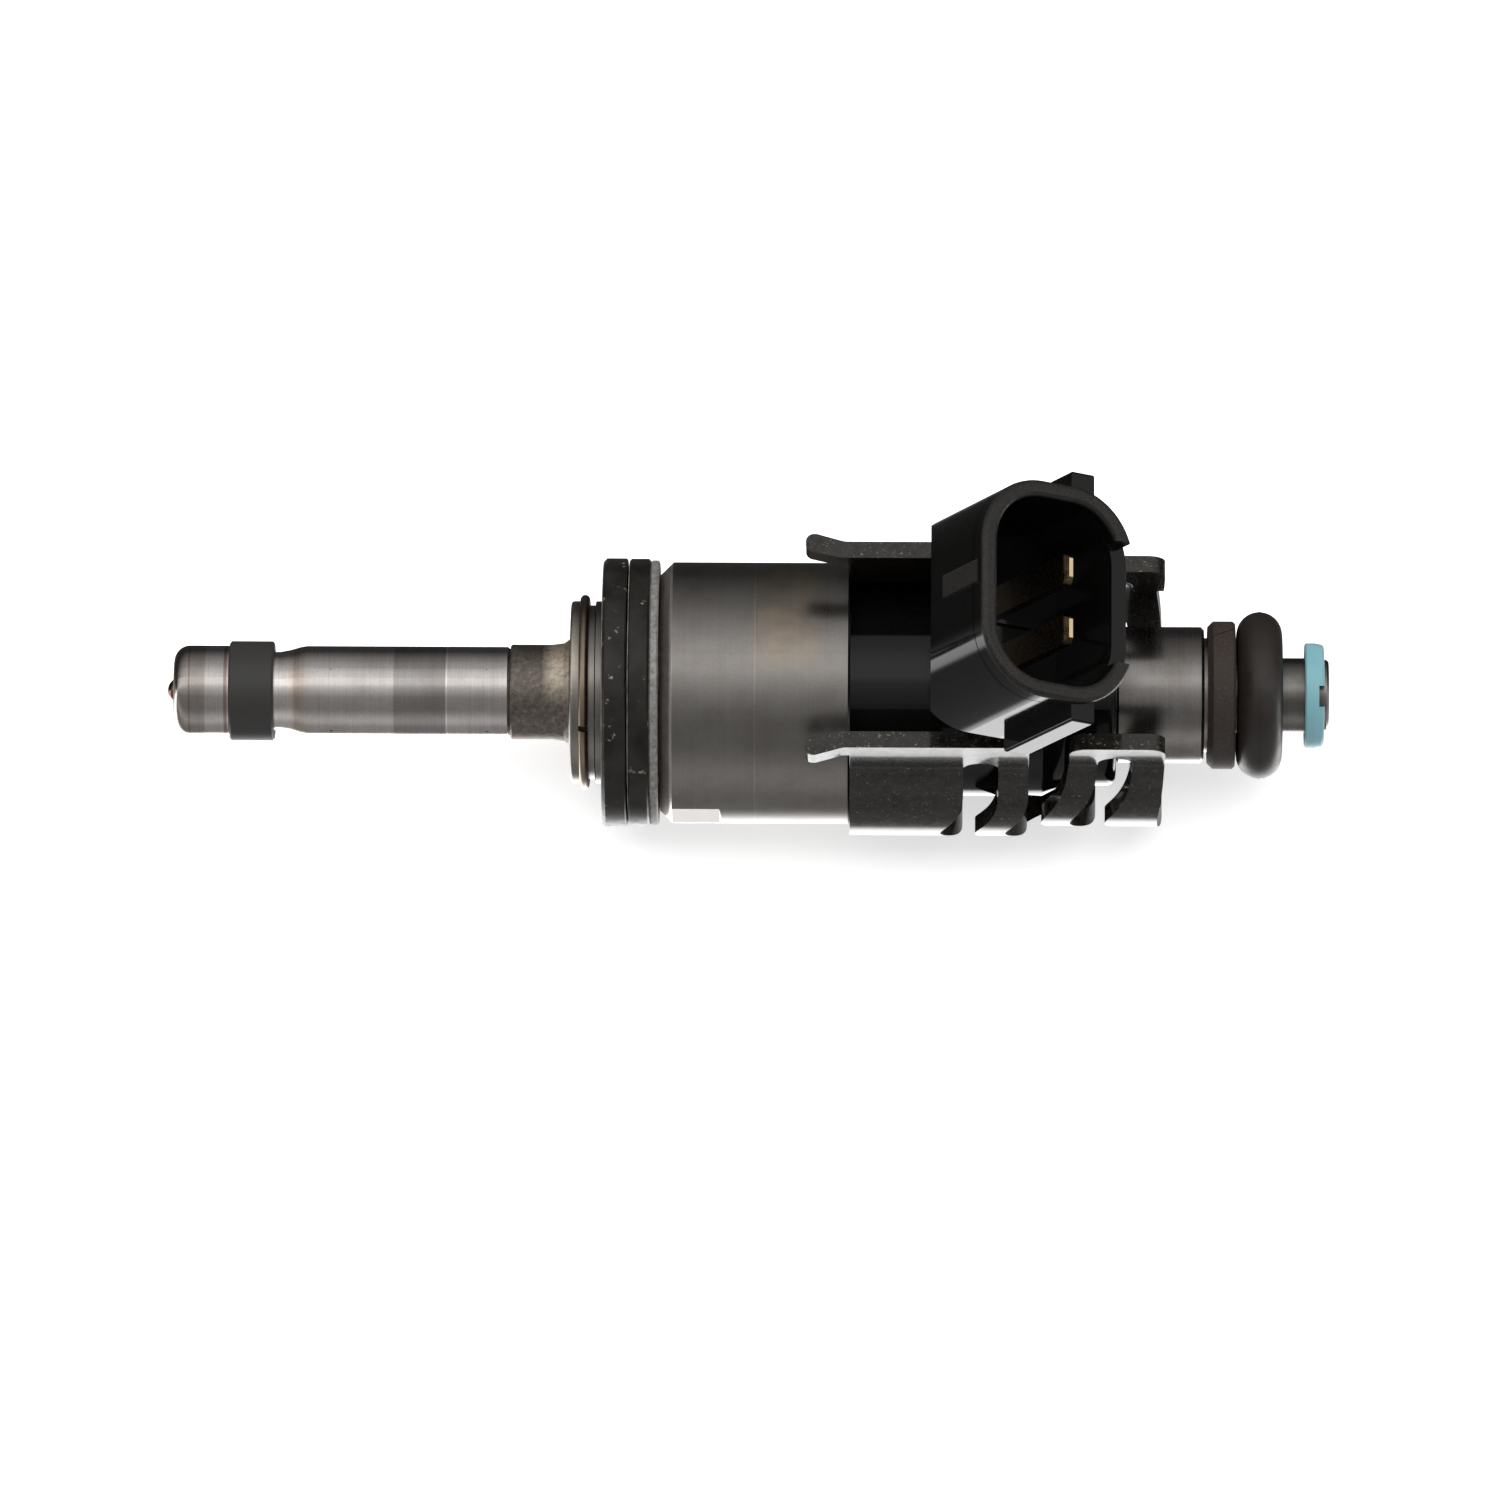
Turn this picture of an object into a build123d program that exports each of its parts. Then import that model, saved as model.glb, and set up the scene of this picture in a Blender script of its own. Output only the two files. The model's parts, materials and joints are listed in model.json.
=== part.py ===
from build123d import *
from math import cos, radians, sin, sqrt
import os

# A petrol direct-injection fuel injector with its hold-down clip, lying on its side.
# X is the injector's axis: the spray tip points to -X and the fuel inlet to +X.
# +Z is the side of the electrical connector, and the XZ plane is the plane of symmetry.
# The origin is on the axis, in the face of the support washer that meets the cylinder head.
# All sizes are in millimetres, and a place called ..._X is a distance along the axis.

# ---- driving dimensions -------------------------------------------------------------------
# nozzle
TIP_X = -35.75
SPRAY_DOME_X = -36.30
SPRAY_DOME_R = 0.95
NOZZLE_R = 3.75
TIP_ROUND = 1.30
SEAT_SEAM_X = -34.40
SEAT_PLUG_END_X = -31.20
SEAT_PLUG_R = 3.10
NOZZLE_BORE_R = 2.60
SEAL_X = (-31.10, -27.40)
SEAL_R = 4.13
SEAL_GROOVE_R = 3.30
NECK_R = 3.25
NECK_END_X = -24.70
SLEEVE_X = -7.70
SPIGOT_R = 3.40
SPIGOT_END_X = -0.50
TACK_DOTS_X = (-22.60, -9.65)
TACK_DOT_ANGLE = 11.0
TACK_DOT_R = 0.14
TACK_DOT_DEPTH = 0.12

# valve inside the nozzle
BALL_R = 1.50
BALL_X = -33.00
BALL_GAP = 0.01
NEEDLE_R = 1.00
LIFT_GAP = 0.10
GUIDE_X = (-4.00, -1.60)
GUIDE_GAP = 0.03
SPRAY_HOLE_R = 0.11
SPRAY_HOLES = 6
SPRAY_HOLE_ANGLE = 38.0

# valve body with the snap ring groove
SLEEVE_R = 3.95
FLARE_X = (-4.25, -2.67)
FLARE_R = 4.50
FLANGE_R = 7.60
GROOVE_X = (-1.92, -0.62)
GROOVE_R = 7.25
SNAP_RING_R = 7.72
SNAP_WIRE_R = 0.40
SNAP_GAP_ANGLE = 3.5
SNAP_GAP_AT = 43.0

# rings that float on the valve body
WASHER_R = 11.18
WASHER_X = (0.00, 2.04)
DAMPER_R = 11.15
DAMPER_X = (2.17, 3.96)
SPACER_R = 11.02
SPACER_X = (3.96, 4.70)
RING_BORE_R = 7.75
WASHER_SEAT_R = 8.45
WASHER_LEAD = 0.20

# magnetic circuit
HOUSING_X = (4.79, 20.60)
HOUSING_R = 10.87
HOUSING_NECK_R = 9.83
HOUSING_FLOOR_X = 7.10
HOUSING_BORE_R = 9.60
HOUSING_FLAT_Y = 10.70
HOUSING_FLAT_END_X = 9.75
CORE_R = 6.20
CHAMBER_R = 5.20
CHAMBER_X = 2.20
ARMATURE_R = 5.12
ARMATURE_X = (4.60, 12.15)
BRIDGE_X = (10.80, 13.60)
POLE_END_X = 22.00
FLUX_WASHER_X = (18.70, 20.30)
BOBBIN_X = (7.20, 18.60)
BOBBIN_WALL = 0.90
WINDING_R = (7.05, 9.10)
SPRING_BORE_R = 2.00
SPRING_X = (8.50, 20.50)
SPRING_COIL_R = 1.55
SPRING_WIRE_R = 0.25
SPRING_TURNS = 8
ADJUSTER_END_X = 28.00
ADJUSTER_BORE_R = 1.10

# fuel inlet
TUBE_R = 4.90
COLLAR_X = (42.70, 50.00)
COLLAR_R = 5.67
STEP_R = 4.75
SEAL_TUBE_R = 3.12
BACKUP_X = (50.30, 52.60)
BACKUP_R = 6.15
O_RING_R = 6.94
O_RING_SECTION_R = 1.90
O_RING_X = 54.62
END_RING_X = (58.40, 60.00)
END_RING_R = 4.37
INLET_END_X = 60.40
INLET_BORE_R = 2.40
FILTER_X = (50.70, 59.20)
FILTER_R = 1.60
FILTER_RIB_R = 1.95
FILTER_WALL = 0.15
FILTER_END = 0.80

# plastic overmould and connector
BARREL_R = 9.10
BARREL_WAIST_X = (28.00, 29.60)
BARREL_WAIST_R = 8.50
BARREL_TAPER_X = (36.60, 38.40)
BARREL_END_R = 7.60
BARREL_END_X = 42.70
CONNECTOR_TILT = 31.0
MOUTH = (37.73, 0.0, 28.70)
SHROUD_HALF = (7.22, 9.22)
SHROUD_ROUND = 5.80
SHROUD_LENGTH = 12.00
SHROUD_WALL = 1.38
SOCKET_DEPTH = 10.10
NECK_FACE_X = 27.25
NECK_HALF_Y = 5.20
NECK_ROUND = 3.00
NECK_REACH = 26.00
RIM_ROUND = 0.42
RIM_LINE = (1.60, 0.10, 0.08)
BLADE_PITCH = 5.20
BLADE_OFFSET = 1.835
BLADE_TURN = 20.00
BLADE_BELOW_MOUTH = 1.20
BLADE_SIZE = (0.80, 2.50)
LEAD_Z = 7.50

# hold-down clip, bent from one sheet into two open rings
SHEET = 1.40
CLIP_LOW_X = (20.60, 35.40)
CLIP_LOW_R = 11.80
CLIP_LOW_LIP_Y = 8.90
CLIP_LOW_LIP_Z = 13.70
CLIP_LOW_BACK_Z = -11.15
CLIP_HIGH_X = (38.75, 46.65)
CLIP_HIGH_R = 10.96
CLIP_HIGH_LIP_Y = 8.40
CLIP_HIGH_LIP_Z = 11.75
CLIP_HIGH_BACK_Z = -10.78
EAR_X = 16.90
EAR_Z = 11.50
EAR_FLARE = 0.65
CLIP_SLOTS_X = ((30.00, 32.90), (41.10, 44.00))
CLIP_SLOT_TOP_Z = 9.30
CLIP_BOW_Z = -1.50
CLIP_BOW_BACK_Z = -7.60
CLIP_LOW_BOW = (1.88, 5.60)
CLIP_HIGH_BOW = (2.15, 8.40)
CLIP_END_BOW = (0.50, 8.40)
CLIP_TIE_Z = -8.30
CLIP_TIE_ROUND = 0.35
FAR = 40.0


# ---- shared helpers -----------------------------------------------------------------------
def turned(outline, rounds=()):
    """A solid turned about X from (x, radius) points; rounds are (x, radius, fillet) corners."""
    face = make_face(Polyline(*outline, close=True))
    for x, r, size in rounds:
        corner = face.vertices().sort_by_distance((x, r, 0))[0]
        face = fillet(corner, size)
    return revolve(Plane.XZ * face, Axis.X, 360)


def ring(x_range, outer, inner, edge=0.12):
    """A flat-sided ring with both outer edges chamfered."""
    low, high = x_range
    outline = [(low, inner), (low, outer - edge), (low + edge, outer)]
    outline += [(high - edge, outer), (high, outer - edge), (high, inner)]
    return turned(outline)


def tube(x_range, outer, inner):
    """A plain tube along X."""
    low, high = x_range
    return turned([(low, inner), (low, outer), (high, outer), (high, inner)])


def rod(x_range, radius):
    """A plain round bar along X."""
    low, high = x_range
    return Pos((low + high) / 2, 0, 0) * Rot(0, 90, 0) * Cylinder(radius, high - low)


def block(x_range, y_range, z_range):
    """A box from its three ranges."""
    size = [high - low for low, high in (x_range, y_range, z_range)]
    middle = [(high + low) / 2 for low, high in (x_range, y_range, z_range)]
    return Pos(*middle) * Box(*size)


def around_axis(angle):
    """The turn about X that carries +Z towards -Y by an angle in degrees."""
    return Rot(angle, 0, 0)


# ---- nozzle -------------------------------------------------------------------------------
def valve_seat():
    cone_x = BALL_X - BALL_R * sqrt(2) - BALL_GAP * sqrt(2)
    guide_r = BALL_R + 0.05
    sac_r = 0.50
    sac_wall = 0.15
    arc_middle = (SPRAY_DOME_X + 0.16, SPRAY_DOME_R * 0.62)
    dome = ThreePointArc((SPRAY_DOME_X, 0), arc_middle, (TIP_X, SPRAY_DOME_R))
    rest = Polyline(
        (TIP_X, SPRAY_DOME_R),
        (TIP_X, NOZZLE_R - TIP_ROUND),
    )
    corner = RadiusArc((TIP_X, NOZZLE_R - TIP_ROUND), (TIP_X + TIP_ROUND, NOZZLE_R), TIP_ROUND)
    inside = Polyline(
        (TIP_X + TIP_ROUND, NOZZLE_R),
        (SEAT_SEAM_X, NOZZLE_R),
        (SEAT_SEAM_X, SEAT_PLUG_R),
        (SEAT_PLUG_END_X, SEAT_PLUG_R),
        (SEAT_PLUG_END_X, guide_r),
        (cone_x + guide_r, guide_r),
        (cone_x + sac_r, sac_r),
        (TIP_X + sac_wall, sac_r),
        (TIP_X - sac_wall, sac_r / 2),
        (TIP_X - sac_wall, 0),
        (SPRAY_DOME_X, 0),
    )
    seat = revolve(Plane.XZ * make_face([dome, rest, corner, inside]), Axis.X, 360)
    hole = Pos(TIP_X + sac_wall, 0, 0) * Rot(0, -90 + SPRAY_HOLE_ANGLE, 0)
    hole = hole * Pos(0, 0, 0.9) * Cylinder(SPRAY_HOLE_R, 1.8)
    for index in range(SPRAY_HOLES):
        seat -= around_axis(index * 360 / SPRAY_HOLES) * hole
    passage = rod((BALL_X - 0.55, SEAT_PLUG_END_X + 1), 0.40)
    for index in range(4):
        seat -= around_axis(45 + index * 90) * Pos(0, 0, guide_r + 0.1) * passage
    return seat


def nozzle_tube():
    outline = [
        (SEAT_SEAM_X, SEAT_PLUG_R),
        (SEAT_SEAM_X, NOZZLE_R),
        (SEAL_X[0] - 0.03, NOZZLE_R),
        (SEAL_X[0] - 0.03, SEAL_GROOVE_R),
        (SEAL_X[1] + 0.03, SEAL_GROOVE_R),
        (SEAL_X[1] + 0.03, NECK_R),
        (SEAL_X[1] + 0.45, NECK_R),
        (SEAL_X[1] + 1.25, NECK_R + 0.14),
        (NECK_END_X - 0.55, NOZZLE_R - 0.10),
        (NECK_END_X, NOZZLE_R),
        (SLEEVE_X - 0.25, NOZZLE_R),
        (SLEEVE_X, NOZZLE_R - 0.2),
        (SLEEVE_X, SPIGOT_R),
        (SPIGOT_END_X, SPIGOT_R),
        (SPIGOT_END_X, NOZZLE_BORE_R),
        (SEAT_PLUG_END_X, NOZZLE_BORE_R),
        (SEAT_PLUG_END_X, SEAT_PLUG_R),
    ]
    shank = turned(outline)
    for x in TACK_DOTS_X:
        dot = Pos(x, 0, NOZZLE_R) * Cylinder(TACK_DOT_R, 2 * TACK_DOT_DEPTH)
        for quarter in range(4):
            shank -= around_axis(-TACK_DOT_ANGLE + 90 * quarter) * dot
    return shank


def combustion_seal():
    return ring(SEAL_X, SEAL_R, SEAL_GROOVE_R, edge=0.15)


def valve_ball():
    return Pos(BALL_X, 0, 0) * Sphere(BALL_R)


def valve_needle():
    shank = rod((BALL_X, ARMATURE_X[0] + 1.4), NEEDLE_R)
    return shank - valve_ball()


def upper_guide():
    guide = tube(GUIDE_X, NOZZLE_BORE_R, NEEDLE_R + GUIDE_GAP)
    notch = block((GUIDE_X[0] - 1, GUIDE_X[1] + 1), (-0.6, 0.6), (1.9, 3.2))
    for quarter in range(4):
        guide -= around_axis(45 + 90 * quarter) * notch
    return guide


# ---- valve body and the rings on it -------------------------------------------------------
def valve_body():
    outline = [
        (SLEEVE_X, SPIGOT_R),
        (SLEEVE_X, SLEEVE_R - 0.12),
        (SLEEVE_X + 0.12, SLEEVE_R),
        (FLARE_X[0], SLEEVE_R),
        (FLARE_X[0] + 1.0, SLEEVE_R + 0.13),
        (FLARE_X[1] - 0.15, FLARE_R - 0.1),
        (FLARE_X[1], FLARE_R + 0.1),
        (FLARE_X[1], FLANGE_R),
        (GROOVE_X[0], FLANGE_R),
        (GROOVE_X[0], GROOVE_R),
        (GROOVE_X[1], GROOVE_R),
        (GROOVE_X[1], FLANGE_R - 0.08),
        (GROOVE_X[1] + 0.08, FLANGE_R),
        (HOUSING_X[0], FLANGE_R),
        (HOUSING_X[0], CORE_R),
        (BRIDGE_X[0], CORE_R),
        (BRIDGE_X[0], CHAMBER_R),
        (CHAMBER_X, CHAMBER_R),
        (CHAMBER_X, NOZZLE_BORE_R),
        (SPIGOT_END_X, NOZZLE_BORE_R),
        (SPIGOT_END_X, SPIGOT_R),
    ]
    return turned(outline, rounds=[(FLARE_X[1], FLANGE_R, 0.28)])


def snap_ring():
    section = Plane.XZ * Pos(GROOVE_X[0] + SNAP_WIRE_R, SNAP_RING_R) * Circle(SNAP_WIRE_R)
    wire = revolve(section, Axis.X, 360 - SNAP_GAP_ANGLE)
    # the section starts at +Z and the sweep leaves its gap just before it
    return around_axis(SNAP_GAP_AT - SNAP_GAP_ANGLE / 2) * wire


def support_washer():
    low, high = WASHER_X
    outline = [
        (low, WASHER_SEAT_R),
        (low, WASHER_R - 0.3),
        (low + 0.3, WASHER_R),
        (high - 0.12, WASHER_R),
        (high, WASHER_R - 0.12),
        (high, RING_BORE_R),
        (low + WASHER_LEAD, RING_BORE_R),
    ]
    return turned(outline)


def decoupling_ring():
    return ring(DAMPER_X, DAMPER_R, RING_BORE_R, edge=0.18)


def spacer_ring():
    return ring(SPACER_X, SPACER_R, RING_BORE_R + 0.05, edge=0.14)


# ---- magnetic circuit ---------------------------------------------------------------------
def solenoid_housing():
    low, high = HOUSING_X
    step = HOUSING_R - HOUSING_NECK_R
    outline = [
        (low, CORE_R),
        (low, HOUSING_NECK_R),
        (low + step, HOUSING_R),
        (high - 0.18, HOUSING_R),
        (high, HOUSING_R - 0.18),
        (high, HOUSING_BORE_R),
        (HOUSING_FLOOR_X, HOUSING_BORE_R),
        (HOUSING_FLOOR_X, CORE_R),
    ]
    shell = turned(outline)
    side = [(low - 1, 0), (low - 1, 3), (HOUSING_FLAT_END_X + 3, 3), (HOUSING_FLAT_END_X, 0)]
    flat = extrude(make_face(Polyline(*side, close=True)), amount=FAR / 2, both=True)
    flat = Pos(0, HOUSING_FLAT_Y, 0) * flat
    return shell - flat - mirror(flat, Plane.XZ)


def bridge_ring():
    return tube(BRIDGE_X, CORE_R, CHAMBER_R)


def armature():
    low, high = ARMATURE_X
    outline = [
        (low, NEEDLE_R),
        (low, ARMATURE_R - 0.5),
        (low + 0.5, ARMATURE_R),
        (high - 0.2, ARMATURE_R),
        (high, ARMATURE_R - 0.2),
        (high, SPRING_BORE_R),
        (SPRING_X[0], SPRING_BORE_R),
        (SPRING_X[0], 1.1),
        (low + 1.4, 1.1),
        (low + 1.4, NEEDLE_R),
    ]
    plunger = turned(outline)
    for quarter in range(4):
        plunger -= around_axis(45 + 90 * quarter) * Pos(0, 0, 3.5) * rod((low - 1, high + 1), 0.7)
    return plunger


def pole_piece():
    low = ARMATURE_X[1] + LIFT_GAP
    outline = [
        (low, SPRING_BORE_R),
        (low, CHAMBER_R - 0.2),
        (low + 0.2, CHAMBER_R),
        (POLE_END_X, CHAMBER_R),
        (POLE_END_X, SPRING_BORE_R),
    ]
    return turned(outline)


def flux_washer():
    washer = ring(FLUX_WASHER_X, HOUSING_BORE_R, CORE_R, edge=0.1)
    lead_slot = block((FLUX_WASHER_X[0] - 1, FLUX_WASHER_X[1] + 1), (-4.6, 4.6), (6.9, 8.4))
    return washer - lead_slot


def coil_bobbin():
    low, high = BOBBIN_X
    outline = [
        (low, CORE_R + 0.05),
        (low, HOUSING_BORE_R - 0.2),
        (low + BOBBIN_WALL, HOUSING_BORE_R - 0.2),
        (low + BOBBIN_WALL, WINDING_R[0]),
        (high - BOBBIN_WALL, WINDING_R[0]),
        (high - BOBBIN_WALL, HOUSING_BORE_R - 0.2),
        (high, HOUSING_BORE_R - 0.2),
        (high, CORE_R + 0.05),
    ]
    return turned(outline)


def coil_winding():
    low, high = BOBBIN_X[0] + BOBBIN_WALL, BOBBIN_X[1] - BOBBIN_WALL
    layers = 14
    pitch = (high - low) / layers
    outer = [(low, WINDING_R[0]), (low, WINDING_R[1] - 0.15)]
    for layer in range(layers):
        outer.append((low + pitch * (layer + 0.5), WINDING_R[1]))
        outer.append((low + pitch * (layer + 1), WINDING_R[1] - 0.15))
    outer.append((high, WINDING_R[0]))
    return turned(outer)


def return_spring():
    low, high = SPRING_X[0] + SPRING_WIRE_R, SPRING_X[1] - SPRING_WIRE_R
    path = Helix((high - low) / SPRING_TURNS, high - low, SPRING_COIL_R)
    start = path @ 0
    section = Plane(origin=start, z_dir=path % 0) * Circle(SPRING_WIRE_R)
    coil = sweep(section, path=path, is_frenet=True)
    return Pos(low, 0, 0) * Rot(0, 90, 0) * coil


def adjusting_tube():
    return tube((SPRING_X[1], ADJUSTER_END_X), SPRING_BORE_R, ADJUSTER_BORE_R)


# ---- fuel inlet ---------------------------------------------------------------------------
def inlet_tube():
    outline = [
        (BRIDGE_X[1], CHAMBER_R),
        (BRIDGE_X[1], CORE_R),
        (HOUSING_X[1] + 0.9, CORE_R),
        (HOUSING_X[1] + 2.2, TUBE_R),
        (COLLAR_X[0], TUBE_R),
        (COLLAR_X[0], COLLAR_R - 0.2),
        (COLLAR_X[0] + 0.2, COLLAR_R),
        (COLLAR_X[1] - 0.25, COLLAR_R),
        (COLLAR_X[1], COLLAR_R - 0.25),
        (COLLAR_X[1], STEP_R),
        (BACKUP_X[0], STEP_R),
        (BACKUP_X[0], SEAL_TUBE_R),
        (END_RING_X[0] - 0.03, SEAL_TUBE_R),
        (END_RING_X[0] - 0.03, SEAL_TUBE_R - 0.12),
        (INLET_END_X - 0.2, SEAL_TUBE_R - 0.12),
        (INLET_END_X, SEAL_TUBE_R - 0.3),
        (INLET_END_X, INLET_BORE_R + 0.15),
        (INLET_END_X - 0.2, INLET_BORE_R),
        (48.0, INLET_BORE_R),
        (47.3, SPRING_BORE_R),
        (POLE_END_X, SPRING_BORE_R),
        (POLE_END_X, CHAMBER_R),
    ]
    return turned(outline)


def backup_ring():
    low, high = BACKUP_X
    outline = [
        (low, SEAL_TUBE_R),
        (low, BACKUP_R - 0.45),
        (low + 0.45, BACKUP_R),
        (high - 0.2, BACKUP_R),
        (high, BACKUP_R - 0.2),
        (high, SEAL_TUBE_R),
    ]
    collar = turned(outline)
    # the ring is cut through on a slant so that it can be sprung over the tube
    cut = Pos(sum(BACKUP_X) / 2, 0, 4.6) * Rot(0, 0, 32) * Box(6, 0.10, 4.4)
    return collar - around_axis(-40) * cut


def inlet_o_ring():
    section = Pos(O_RING_X, O_RING_R - O_RING_SECTION_R) * Circle(O_RING_SECTION_R)
    seam = Pos(O_RING_X, O_RING_R - 0.06) * Rectangle(0.16, 0.18)
    return revolve(Plane.XZ * (section + seam), Axis.X, 360)


def end_ring():
    low, high = END_RING_X
    inner = SEAL_TUBE_R - 0.12
    outline = [
        (low, inner),
        (low, END_RING_R - 0.12),
        (low + 0.12, END_RING_R),
        (low + 0.85, END_RING_R),
        (high - 0.22, END_RING_R - 0.10),
        (high - 0.05, END_RING_R - 0.22),
        (high, END_RING_R - 0.40),
        (high, inner),
    ]
    collar = turned(outline)
    notch = block((high - 0.46, high + 1), (-0.875, 0.875), (1.0, 6.0))
    return collar - around_axis(18) * notch - around_axis(198) * notch


def filter_frame():
    low, high = FILTER_X
    frame = tube((high, high + FILTER_END), INLET_BORE_R, FILTER_R)
    frame += rod((low - FILTER_END, low), FILTER_RIB_R)
    rib = block((low - 0.4, high + 0.4), (-0.2, 0.2), (FILTER_R + 0.02, FILTER_RIB_R))
    for quarter in range(4):
        frame += around_axis(45 + 90 * quarter) * rib
    return frame


def filter_mesh():
    return tube(FILTER_X, FILTER_R, FILTER_R - FILTER_WALL)


# ---- connector and overmould --------------------------------------------------------------
TILT = radians(CONNECTOR_TILT)
UP = (sin(TILT), 0, cos(TILT))
ACROSS = (cos(TILT), 0, -sin(TILT))
SOCKET = Plane(origin=MOUTH, x_dir=ACROSS, z_dir=UP)


def in_socket(x_range, y_range, z_range):
    """A box in the connector's own frame: across, along Y, and out of the mouth."""
    return SOCKET.location * block(x_range, y_range, z_range)


def terminal(side):
    """One flat blade with a chamfered tip; its lead turns down and back along the barrel."""
    thick, wide = BLADE_SIZE
    half = thick / 2
    tip = -BLADE_BELOW_MOUTH
    low, high = BLADE_OFFSET - half, BLADE_OFFSET + half
    outline = [(low, -BLADE_TURN), (low, tip - 0.5), (low + 0.22, tip), (high - 0.22, tip)]
    outline += [(high, tip - 0.5), (high, -BLADE_TURN)]
    blade = extrude(Plane.XZ * make_face(Polyline(*outline, close=True)), amount=wide / 2, both=True)
    front = [(-wide / 2, -BLADE_TURN), (-wide / 2, tip - 0.7), (-wide / 2 + 0.45, tip)]
    front += [(wide / 2 - 0.45, tip), (wide / 2, tip - 0.7), (wide / 2, -BLADE_TURN)]
    blade &= extrude(Plane.YZ * make_face(Polyline(*front, close=True)), amount=FAR, both=True)
    turn = SOCKET.from_local_coords(Vector(BLADE_OFFSET, 0, -BLADE_TURN))
    across = (-wide / 2, wide / 2)
    drop = block((turn.X - half, turn.X + half), across, (LEAD_Z, turn.Z))
    lead = block((BOBBIN_X[1] + 0.15, turn.X), across, (LEAD_Z - half, LEAD_Z + half))
    bend = Rot(90, 0, 0) * Cylinder(half, wide)
    bends = Pos(turn.X, 0, turn.Z) * bend + Pos(turn.X, 0, LEAD_Z) * bend
    return Pos(0, side * BLADE_PITCH / 2, 0) * (SOCKET.location * blade + drop + lead + bends)


def oval(across, half_y, corner, depth=0.0):
    """The shell's oval outline, this far below the mouth."""
    return SOCKET.location * Pos(0, 0, -depth) * RectangleRounded(2 * across, 2 * half_y, corner)


def shroud():
    """The oval plug shell and its narrower neck, before the barrel is joined on."""
    across, half_y = SHROUD_HALF
    shell = extrude(oval(across, half_y, SHROUD_ROUND), amount=-SHROUD_LENGTH)
    room = [size - SHROUD_WALL for size in (across, half_y, SHROUD_ROUND)]
    shell -= extrude(oval(*room), amount=-SOCKET_DEPTH)
    rim = shell.edges().filter_by(lambda edge: abs(SOCKET.to_local_coords(edge.center()).Z) < 0.01)
    shell = fillet(rim, RIM_ROUND)
    depth, width, cut = RIM_LINE
    line = oval(across + 1, half_y + 1, SHROUD_ROUND + 1, depth)
    line -= oval(across - cut, half_y - cut, SHROUD_ROUND - cut, depth)
    shell -= extrude(line, amount=-width)
    neck = extrude(oval(across, half_y, SHROUD_ROUND), amount=-NECK_REACH)
    neck -= extrude(oval(across + 1, half_y + 1, SHROUD_ROUND), amount=1 - SHROUD_LENGTH)
    plan = Pos(NECK_FACE_X + FAR / 2, 0) * RectangleRounded(FAR, 2 * NECK_HALF_Y, NECK_ROUND)
    neck &= extrude(plan, amount=FAR)
    return (shell + neck) & block((NECK_FACE_X, 2 * FAR), (-FAR, FAR), (0, FAR))


def socket_details():
    """The shell's guide ribs, the tab on its wall and the low rib on the socket's floor."""
    across, half_y = SHROUD_HALF
    pieces = in_socket((-across - 0.22, -across + 0.3), (-0.25, 1.65), (-6.15, -0.85))
    for side in (-1, 1):
        reach = sorted((side * (half_y - 0.4), side * (half_y + 1.45)))
        guide = in_socket((1.5, 3.68), reach, (-11.1, -0.6))
        outer = guide.faces().sort_by(Axis.Y)[0 if side < 0 else -1]
        pieces += fillet(outer.edges(), 0.22)
    inner_wall = across - SHROUD_WALL
    heights = (-SOCKET_DEPTH - 0.1, -SOCKET_DEPTH + 0.4)
    return pieces + in_socket((-inner_wall - 0.06, 3.2), (-0.16, 0.16), heights)


def connector_overmold():
    outline = [
        (FLUX_WASHER_X[1], 0),
        (FLUX_WASHER_X[1], HOUSING_BORE_R),
        (HOUSING_X[1], HOUSING_BORE_R),
        (HOUSING_X[1], BARREL_R),
        (BARREL_WAIST_X[0], BARREL_R),
        (BARREL_WAIST_X[1], BARREL_WAIST_R),
        (BARREL_TAPER_X[0], BARREL_WAIST_R),
        (BARREL_TAPER_X[1], BARREL_END_R),
        (BARREL_END_X, BARREL_END_R),
        (BARREL_END_X, 0),
    ]
    barrel = turned(outline, rounds=[(BARREL_END_X, BARREL_END_R, 0.8)])
    body = barrel + shroud() + socket_details()
    rim_notch = in_socket((5.1, 8.2), (-5.2, 5.2), (-1.4, 1.0))
    body -= rim_notch
    body -= rod((FLUX_WASHER_X[1] - 1, POLE_END_X + 0.5), CHAMBER_R)
    body -= rod((FLUX_WASHER_X[1] - 1, COLLAR_X[1]), TUBE_R)
    body -= inlet_tube()
    body -= terminal(1)
    body -= terminal(-1)
    return body


# ---- hold-down clip -----------------------------------------------------------------------
def clip_section(radius, back_z, lip_y, lip_z):
    """The clip's section across the axis: an open ring with a flat back and two upright lips."""
    inner = radius - SHEET
    lip_in = lip_y - SHEET
    bend_z = sqrt(inner**2 - lip_in**2)
    back = Pos(0, back_z + FAR) * Rectangle(4 * FAR, 2 * FAR)
    inner_back = Pos(0, back_z + SHEET + FAR) * Rectangle(4 * FAR, 2 * FAR)
    section = (Circle(radius) & back) - (Circle(inner) & inner_back)
    opening = make_face(Polyline(
        (0, 0), (lip_in * 4, bend_z * 4), (-lip_in * 4, bend_z * 4), close=True))
    section -= opening
    for side in (-1, 1):
        lip_middle = side * (lip_y - SHEET / 2)
        section += Pos(lip_middle, (bend_z + lip_z) / 2) * Rectangle(SHEET, lip_z - bend_z)
    section = section.faces()[0]
    bend_out = sqrt(radius**2 - lip_y**2)
    for side in (-1, 1):
        corner = section.vertices().sort_by_distance((side * lip_y, bend_out, 0))[0]
        section = fillet(corner, 1.6).faces()[0]
    return section


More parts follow.
